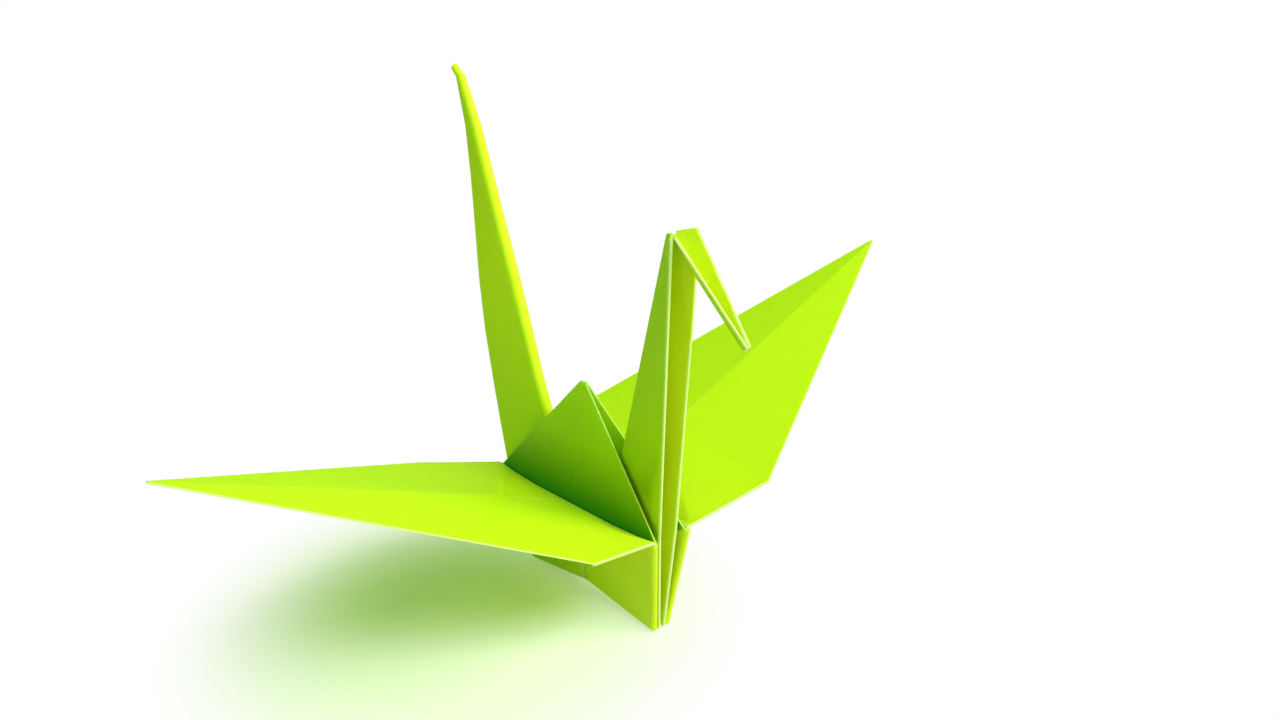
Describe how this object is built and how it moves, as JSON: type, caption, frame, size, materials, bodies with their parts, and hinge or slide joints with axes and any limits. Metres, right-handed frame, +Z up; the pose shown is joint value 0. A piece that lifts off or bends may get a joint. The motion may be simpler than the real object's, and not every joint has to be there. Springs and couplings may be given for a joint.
{
  "type": "origami crane",
  "caption": "Paper crane folded from a square sheet, standing, with spread wings, raised neck and tail and a head turned down.",
  "frame": {"origin": "on the surface that the crane stands on, straight under the top of its hump, midway between the two feet", "axes": "+X towards the head, +Y towards the left wing tip, +Z up"},
  "size_m": [0.0579, 0.1184, 0.0745],
  "materials": {
    "paper": "matt, lime-green origami paper, coloured on both sides, paler along its folds"
  },
  "bodies": {
    "root": {"folded_crane": "paper"}
  },
  "joints": []
}
